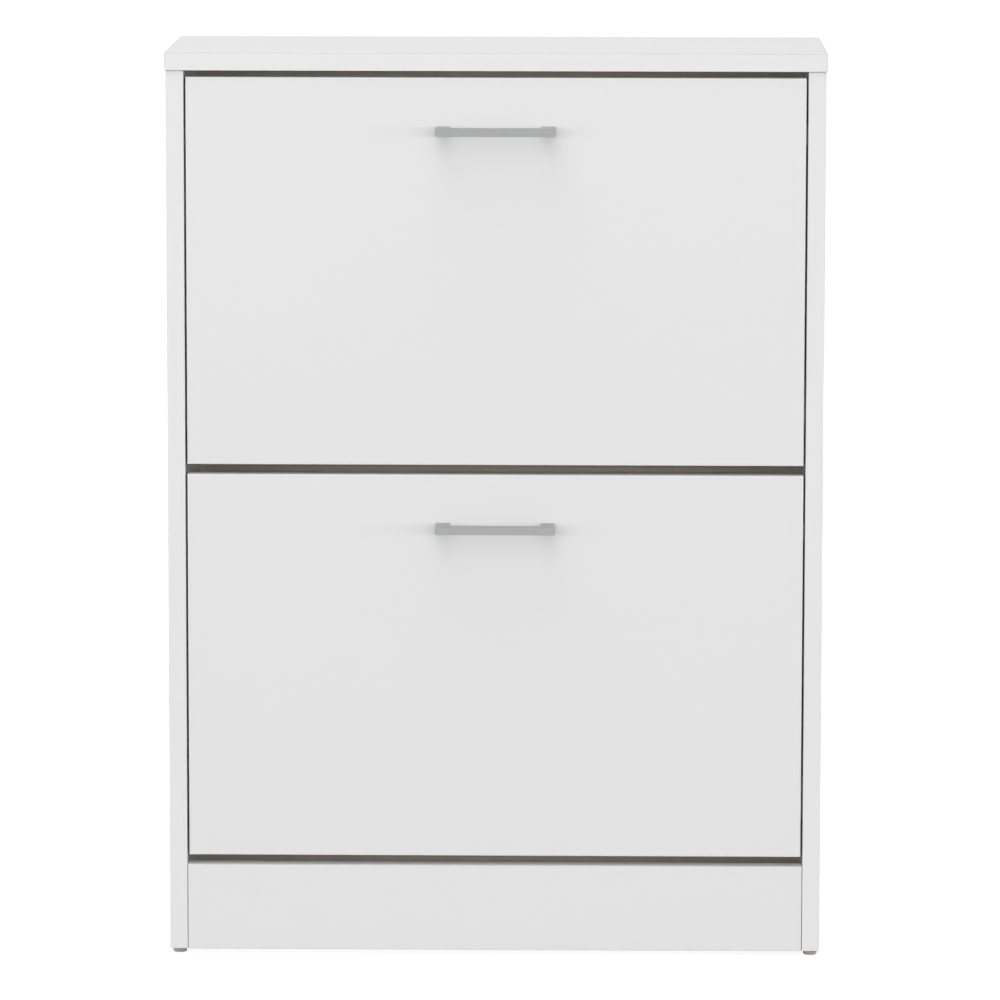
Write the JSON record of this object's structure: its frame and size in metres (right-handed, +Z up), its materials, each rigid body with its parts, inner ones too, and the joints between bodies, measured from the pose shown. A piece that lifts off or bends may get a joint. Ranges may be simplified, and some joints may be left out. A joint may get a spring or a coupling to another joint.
{
  "type": "shoe cabinet",
  "caption": "White two-flap shoe cabinet with tilt-down racks, bow handles, a plinth board and floor glides.",
  "frame": {"origin": "on the floor, centred on the cabinet's width and its depth with the handles", "axes": "+Z up, the flaps face -Y, +X to the right seen from the front"},
  "size_m": [0.6026, 0.2656, 0.8345],
  "materials": {
    "white_board": "satin",
    "back_board": "matte",
    "rack_board": "satin",
    "handle_metal": "satin",
    "fitting_plastic": "matte",
    "joiner_plastic": "satin",
    "glide_plastic": "matte",
    "zinc": "satin"
  },
  "bodies": {
    "carcass": {"top_panel": "white_board", "left_side_panel": "white_board", "right_side_panel": "white_board", "plinth_board": "white_board", "bottom_rear_rail": "white_board", "middle_rear_rail": "white_board", "top_rear_rail": "white_board", "lower_back_panel": "back_board", "upper_back_panel": "back_board", "back_panel_joiner": "joiner_plastic", "front_left_glide": "glide_plastic", "front_right_glide": "glide_plastic", "rear_left_glide": "glide_plastic", "rear_right_glide": "glide_plastic", "lower_left_pivot_bracket": "fitting_plastic", "lower_left_flap_stop": "fitting_plastic", "lower_right_pivot_bracket": "fitting_plastic", "lower_right_flap_stop": "fitting_plastic", "upper_left_pivot_bracket": "fitting_plastic", "upper_left_flap_stop": "fitting_plastic", "upper_right_pivot_bracket": "fitting_plastic", "upper_right_flap_stop": "fitting_plastic", "top_front_left_cam_lock": "zinc", "top_front_right_cam_lock": "zinc", "top_rear_left_cam_lock": "zinc", "top_rear_right_cam_lock": "zinc", "plinth_left_cam_lock": "zinc", "plinth_right_cam_lock": "zinc", "bottom_rail_left_cam_lock": "zinc", "bottom_rail_right_cam_lock": "zinc", "middle_rail_left_cam_lock": "zinc", "middle_rail_right_cam_lock": "zinc", "top_rail_left_cam_lock": "zinc", "top_rail_right_cam_lock": "zinc"},
    "lower_flap": {"lower_flap_panel": "white_board", "lower_handle": "handle_metal", "lower_left_handle_screw": "zinc", "lower_left_lower_rack_screw": "zinc", "lower_left_top_rack_screw": "zinc", "lower_right_handle_screw": "zinc", "lower_right_lower_rack_screw": "zinc", "lower_right_top_rack_screw": "zinc", "lower_rack_base": "rack_board", "lower_rack_divider": "rack_board", "lower_rack_rear_board": "rack_board", "lower_left_rack_plate": "fitting_plastic", "lower_right_rack_plate": "fitting_plastic"},
    "upper_flap": {"upper_flap_panel": "white_board", "upper_handle": "handle_metal", "upper_left_handle_screw": "zinc", "upper_left_lower_rack_screw": "zinc", "upper_left_top_rack_screw": "zinc", "upper_right_handle_screw": "zinc", "upper_right_lower_rack_screw": "zinc", "upper_right_top_rack_screw": "zinc", "upper_rack_base": "rack_board", "upper_rack_divider": "rack_board", "upper_rack_rear_board": "rack_board", "upper_left_rack_plate": "fitting_plastic", "upper_right_rack_plate": "fitting_plastic"}
  },
  "joints": [
    {"name": "lower_flap_hinge", "type": "hinge", "parent": "carcass", "child": "lower_flap", "pos_m": [0, -0.07875, 0.1335], "axis": [1, 0, 0], "range_deg": [0, 50]},
    {"name": "upper_flap_hinge", "type": "hinge", "parent": "carcass", "child": "upper_flap", "pos_m": [0, -0.07875, 0.4975], "axis": [1, 0, 0], "range_deg": [0, 50]}
  ]
}
